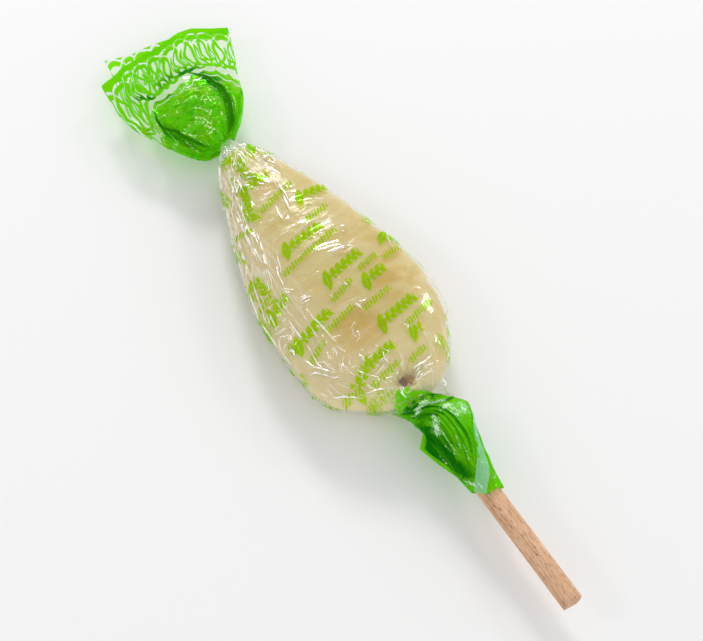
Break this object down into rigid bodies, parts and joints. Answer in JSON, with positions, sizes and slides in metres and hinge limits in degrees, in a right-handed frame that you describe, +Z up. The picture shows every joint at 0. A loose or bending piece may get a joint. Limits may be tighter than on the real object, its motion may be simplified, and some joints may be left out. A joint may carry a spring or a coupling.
{
  "type": "lollipop",
  "caption": "Wrapped lollipop lying down: a flat, spear-shaped boiled sweet in clear film printed in green, twisted into a flared fan at the top and round a wooden stick below.",
  "frame": {"origin": "middle of the underside of the bounding box, on the surface that the lollipop lies on", "axes": "+Y along the stick from its free end towards the fan of film, +Z up out of the broad face that shows, +X to the right when the fan is away from the viewer"},
  "size_m": [0.0326, 0.1446, 0.0128],
  "materials": {
    "film": "glossy clear film with green print over a cream sweet",
    "wood": "bare smooth hardwood dowel"
  },
  "bodies": {
    "root": {"wrapped_candy": "film", "stick": "wood"}
  },
  "joints": []
}
